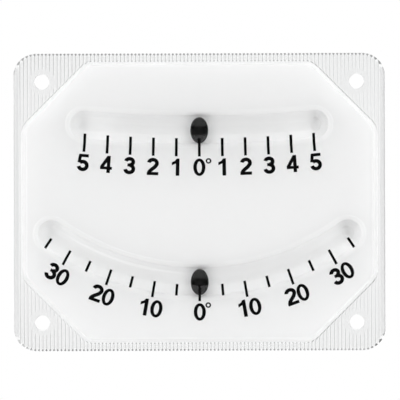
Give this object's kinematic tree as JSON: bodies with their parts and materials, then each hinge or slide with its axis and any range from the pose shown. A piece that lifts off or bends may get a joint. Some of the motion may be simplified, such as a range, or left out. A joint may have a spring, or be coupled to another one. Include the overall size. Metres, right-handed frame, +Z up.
{
  "type": "inclinometer",
  "caption": "Rectangular clear screw-on plate with a white bevelled panel and curved liquid-filled races in which black balls roll to show the angle of tilt.",
  "frame": {"origin": "centre of the flat back of the plate, the face that lies against the wall", "axes": "+X right along the plate's width, +Y out of the back into the wall, +Z up; the dial faces -Y"},
  "size_m": [0.1036, 0.0106, 0.083],
  "materials": {
    "clear_acrylic": "gloss",
    "white_plastic": "satin",
    "black_steel": "gloss",
    "damping_liquid": "gloss",
    "plug_plastic": "matte"
  },
  "bodies": {
    "housing": {"front_cover": "clear_acrylic", "dial_plate": "white_plastic", "back_plate": "clear_acrylic", "upper_damping_fluid": "damping_liquid", "lower_damping_fluid": "damping_liquid", "upper_fill_plug": "plug_plastic", "lower_fill_plug": "plug_plastic"},
    "upper_ball": {"upper_ball": "black_steel"},
    "lower_ball": {"lower_ball": "black_steel"}
  },
  "joints": [
    {"name": "upper_ball_roll", "type": "hinge", "parent": "housing", "child": "upper_ball", "pos_m": [0, -0.0056, 0.38015], "axis": [0, 1, 0], "range_deg": [-5.1, 5.1], "deforming": ["upper_damping_fluid"]},
    {"name": "lower_ball_roll", "type": "hinge", "parent": "housing", "child": "lower_ball", "pos_m": [0, -0.0056, 0.0485], "axis": [0, 1, 0], "range_deg": [-35.6, 35.6], "deforming": ["lower_damping_fluid"]}
  ]
}
